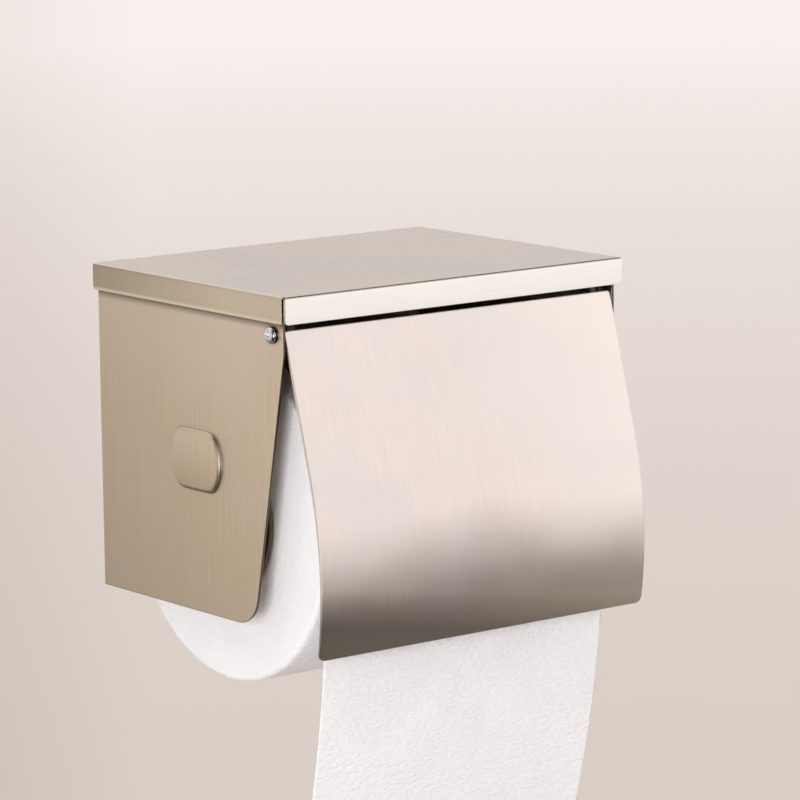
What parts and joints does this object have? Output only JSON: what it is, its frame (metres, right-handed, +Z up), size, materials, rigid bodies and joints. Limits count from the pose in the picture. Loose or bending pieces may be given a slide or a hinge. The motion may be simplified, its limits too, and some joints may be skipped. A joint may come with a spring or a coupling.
{
  "type": "wall toilet paper holder",
  "caption": "Wall-mounted steel toilet paper holder with a flat shelf lid, a lifting curved front flap, a sprung spindle and a roll of paper with its loose end hanging down.",
  "frame": {"origin": "on the wall plane, at the middle of the back plate's rear face in width and 50 mm below the lid's top", "axes": "+X to the viewer's right along the width, +Y into the wall, -Y is the front, +Z up"},
  "size_m": [0.126, 0.1098, 0.17],
  "materials": {
    "body_shell": "vertical brushed grain, warm satin nickel colour",
    "lid": "brushed grain along its width, warm satin nickel colour",
    "front_flap": "fine vertical brushed grain, pale champagne colour",
    "flap_ear": "vertical brushed grain, warm satin nickel colour",
    "hinge_screw": "polished chrome",
    "hinge_spacer": "zinc plated",
    "hinge_nut": "zinc plated",
    "spindle_tube": "bright chrome plated",
    "spindle_spring": "drawn spring wire",
    "spindle_cap": "satin moulded",
    "roll_core": "plain wound board",
    "paper": "soft embossed tissue"
  },
  "bodies": {
    "holder": {"body_shell": "body_shell", "lid": "lid", "hinge_screw_left": "hinge_screw", "hinge_screw_right": "hinge_screw", "hinge_spacer_left": "hinge_spacer", "hinge_spacer_right": "hinge_spacer", "hinge_nut_left": "hinge_nut", "hinge_nut_right": "hinge_nut", "spindle_outer_tube": "spindle_tube", "spindle_cap_left": "spindle_cap", "spindle_spring": "spindle_spring", "paper_tail": "paper"},
    "flap": {"front_flap": "front_flap", "flap_ear_left": "flap_ear", "flap_ear_right": "flap_ear"},
    "roll": {"roll_core": "roll_core", "paper_roll": "paper"},
    "spindle_end": {"spindle_inner_tube": "spindle_tube", "spindle_cap_right": "spindle_cap"}
  },
  "joints": [
    {"name": "flap_lift", "type": "hinge", "parent": "holder", "child": "flap", "pos_m": [0, -0.0896, 0.0384], "axis": [-1, 0, 0], "range_deg": [0, 62]},
    {"name": "roll_spin", "type": "hinge", "parent": "holder", "child": "roll", "pos_m": [0, -0.0512, -0.02035], "axis": [1, 0, 0], "continuous": true},
    {"name": "spindle_squeeze", "type": "slide", "parent": "holder", "child": "spindle_end", "axis": [-1, 0, 0], "range_m": [0, 0.006], "stiffness_N_per_m": 300, "springref_m": -0.004, "deforming": ["spindle_spring"]}
  ]
}
